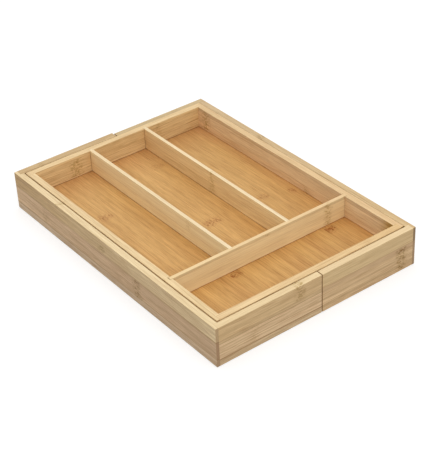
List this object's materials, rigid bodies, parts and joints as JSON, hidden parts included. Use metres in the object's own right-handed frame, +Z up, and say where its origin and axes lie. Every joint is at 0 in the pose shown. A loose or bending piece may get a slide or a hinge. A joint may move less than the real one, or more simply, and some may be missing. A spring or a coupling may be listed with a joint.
{
  "type": "cutlery tray",
  "caption": "Extending wooden cutlery tray: a divided inner tray between two U-shaped outer sections that slide out sideways to open a compartment on each side.",
  "frame": {"origin": "on the ground, in the middle of the closed tray", "axes": "+X to the right, along the sections' travel; +Y from the front wall to the back wall, along the long walls; +Z up"},
  "size_m": [0.25, 0.3564, 0.0453],
  "materials": {
    "bamboo_wall": "laminated bamboo board, planed, sanded and clear lacquered, satin",
    "bamboo_panel": "edge-glued bamboo panel, sanded and clear lacquered, satin",
    "bamboo_divider": "thin bamboo strip, planed, sanded and clear lacquered, satin"
  },
  "bodies": {
    "tray": {"tray_left_wall": "bamboo_wall", "tray_right_wall": "bamboo_wall", "tray_front_wall": "bamboo_wall", "tray_back_wall": "bamboo_wall", "tray_base": "bamboo_panel", "cross_divider": "bamboo_divider", "left_long_divider": "bamboo_divider", "right_long_divider": "bamboo_divider"},
    "left_section": {"left_section_side": "bamboo_wall", "left_section_front": "bamboo_wall", "left_section_back": "bamboo_wall", "left_section_base": "bamboo_panel", "left_section_stop": "bamboo_divider"},
    "right_section": {"right_section_side": "bamboo_wall", "right_section_front": "bamboo_wall", "right_section_back": "bamboo_wall", "right_section_base": "bamboo_panel", "right_section_stop": "bamboo_divider"}
  },
  "joints": [
    {"name": "left_slide", "type": "slide", "parent": "tray", "child": "left_section", "axis": [-1, 0, 0], "range_m": [0, 0.075]},
    {"name": "right_slide", "type": "slide", "parent": "tray", "child": "right_section", "axis": [1, 0, 0], "range_m": [0, 0.075]}
  ]
}
